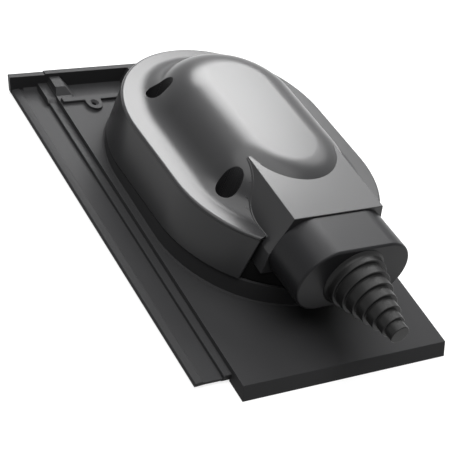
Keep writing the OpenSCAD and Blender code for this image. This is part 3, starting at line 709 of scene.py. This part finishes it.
finishes = {
    "hood_plastic": finish_of(
        "graphite hood plastic", (0.024, 0.024, 0.025),
        variation=0.05, rough=0.3, size=0.5, depth=0.1, specular=0.25),
    "tile_plastic": finish_of(
        "black tile plastic", (0.032, 0.032, 0.033),
        variation=0.06, rough=0.42, size=0.6, depth=0.2, specular=0.04),
    "neck_plastic": finish_of(
        "black neck plastic", (0.012, 0.012, 0.013),
        variation=0.05, rough=0.36, size=0.5, depth=0.15, specular=0.12),
    "carrier_plastic": finish_of(
        "black carrier plastic", (0.004, 0.004, 0.004),
        variation=0.05, rough=0.6, size=0.6, depth=0.2, specular=0.05),
    "boot_rubber": finish_of(
        "black boot rubber", (0.014, 0.014, 0.014),
        variation=0.06, rough=0.38, size=0.4, depth=0.2, specular=0.13),
    "seal_rubber": finish_of(
        "black seal rubber", (0.003, 0.003, 0.003),
        variation=0.05, rough=0.8, size=0.6, depth=0.3, specular=0.05),
    "screw_steel": finish_of(
        "plain screw steel", (0.25, 0.25, 0.26),
        variation=0.08, rough=0.4, size=0.4, depth=0.1, specular=0.5, metallic=1.0),
}
print(len(finishes), "finishes")

# %% [markdown]
# The record says which material each node has. The pieces that stand for a node were told their slot
# when they were settled, and the nodes that are kept as they are take theirs from the record.

# %% Give every piece its finish
slots = {row["node"]: row["material_slot"] for row in frame["record"]["subparts"]}
dressed = [(piece, slots[node]) for node, piece in nodes.items()]
dressed += [(piece, piece["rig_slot"]) for piece in (hood, neck, boot, tile)]
for piece, slot in dressed:
    piece.data.materials.clear()
    piece.data.materials.append(finishes[slot])
print(len(dressed), "pieces have their finish")

# %% [markdown]
# ## The studio
# The object stands on a plain white floor. The floor and the world are white to the camera and in
# reflections, and much dimmer as a source of light, so the black plastic keeps its depth.

# %% White to the camera, dim to the rest
def white_to_camera(tree, plain, white):
    """Shows the white shader to the camera and to reflections, and the plain one to all other light."""
    path = tree.nodes.new("ShaderNodeLightPath").outputs
    seen = math_node(tree, "MAXIMUM", path["Is Camera Ray"], path["Is Glossy Ray"])
    both = math_node(tree, "MAXIMUM", seen.outputs[0], path["Is Transmission Ray"])
    mix = tree.nodes.new("ShaderNodeMixShader")
    tree.links.new(both.outputs[0], mix.inputs["Fac"])
    tree.links.new(plain.outputs[0], mix.inputs[1])
    tree.links.new(white.outputs[0], mix.inputs[2])
    return mix


def shader_node(tree, kind, socket, value):
    """A shader node with one value set."""
    node = tree.nodes.new(kind)
    node.inputs[socket].default_value = value
    return node


# %% [markdown]
# A floor that only glowed would hide the object's shadow, so its white is a pale matt surface with a
# glow added to it. It lies a hair below the tile's feet, so that no two faces share one plane.

# %% The floor
FLOOR_SIZE, FLOOR_DROP = 12, 0.3
PALE, GREY, GLOW = 0.3, 0.1, 0.75
bpy.ops.object.select_all(action="DESELECT")
bpy.ops.mesh.primitive_plane_add(size=FLOOR_SIZE, location=(0, 0, -FLOOR_DROP * MM))
floor = bpy.context.object
floor.name = "floor"
floor_finish = bpy.data.materials.new("white floor")
floor_finish.use_nodes = True
tree = floor_finish.node_tree
tree.nodes.clear()
pale = shader_node(tree, "ShaderNodeBsdfDiffuse", "Color", (PALE, PALE, PALE, 1))
grey = shader_node(tree, "ShaderNodeBsdfDiffuse", "Color", (GREY, GREY, GREY, 1))
glow = shader_node(tree, "ShaderNodeEmission", "Strength", GLOW)
shown = tree.nodes.new("ShaderNodeAddShader")
tree.links.new(pale.outputs[0], shown.inputs[0])
tree.links.new(glow.outputs[0], shown.inputs[1])
out = tree.nodes.new("ShaderNodeOutputMaterial")
tree.links.new(white_to_camera(tree, grey, shown).outputs[0], out.inputs["Surface"])
floor.data.materials.append(floor_finish)
print("the floor is", FLOOR_SIZE, "m wide")

# %% [markdown]
# The world is a plain white backdrop to the camera. As a light it is dim, because the lamps do the work.

# %% The world
DIM, BRIGHT, WHITE = 0.15, 1, (1, 1, 1, 1)
world = bpy.data.worlds.new("studio")
bpy.context.scene.world = world
world.use_nodes = True
tree = world.node_tree
tree.nodes.clear()
dim = shader_node(tree, "ShaderNodeBackground", "Color", WHITE)
dim.inputs["Strength"].default_value = DIM
bright = shader_node(tree, "ShaderNodeBackground", "Color", WHITE)
bright.inputs["Strength"].default_value = BRIGHT
out = tree.nodes.new("ShaderNodeOutputWorld")
tree.links.new(white_to_camera(tree, dim, bright).outputs[0], out.inputs["Surface"])
print("the world lights the scene at", DIM)

# %% [markdown]
# Black plastic shows its shape by what it reflects. The photograph has one soft lamp close behind the
# tile: its reflections draw the bright bands on the crown's flat top and along the brim. A weak lamp
# on the right does the same for the far side, and a large one high above lifts all that faces up.

# %% Lamps
AIM = Vector((0.024, 0.02, 0.1))


def lamp(name, place, wide, high, watts):
    """An oval area lamp at a place in metres that looks at the hood."""
    data = bpy.data.lights.new(name, "AREA")
    data.shape = "ELLIPSE"
    data.size = wide
    data.size_y = high
    data.energy = watts
    source = bpy.data.objects.new(name, data)
    bpy.context.scene.collection.objects.link(source)
    source.location = place
    source.rotation_euler = (AIM - Vector(place)).to_track_quat("-Z", "Y").to_euler()
    print(name, "lamp:", watts, "W")


lamp("key", (0.3, 0.62, 0.6), wide=0.62, high=0.46, watts=12)
lamp("side", (0.6, 0.35, 0.65), wide=0.34, high=0.34, watts=1.5)
lamp("top", (-0.45, 0.1, 2.2), wide=3, high=3, watts=85)
bpy.context.scene.view_settings.view_transform = "Standard"

# %% [markdown]
# ## The camera
# The photograph looks at the tile from its front left corner, from well above and with the camera
# rolled, through a long lens. The camera's axes are given as they stand in the model's frame.

# %% Camera
LENS, SENSOR = 130.48, 36
camera_data = bpy.data.cameras.new("camera")
camera_data.lens = LENS
camera_data.sensor_width = SENSOR
camera = bpy.data.objects.new("camera", camera_data)
bpy.context.scene.collection.objects.link(camera)
right = Vector((0.81154379, -0.47891185, 0.33472395))
up = Vector((0.12235811, 0.69946607, 0.70411343))
back_axis = right.cross(up)
stand = Vector((-0.9665024, -0.8943035, 1.0640489))
camera.matrix_world = Matrix.Translation(stand) @ Matrix((right, up, back_axis)).transposed().to_4x4()
bpy.context.scene.camera = camera
print("the camera stands", round(stand.length, 2), "m from the tile's middle")
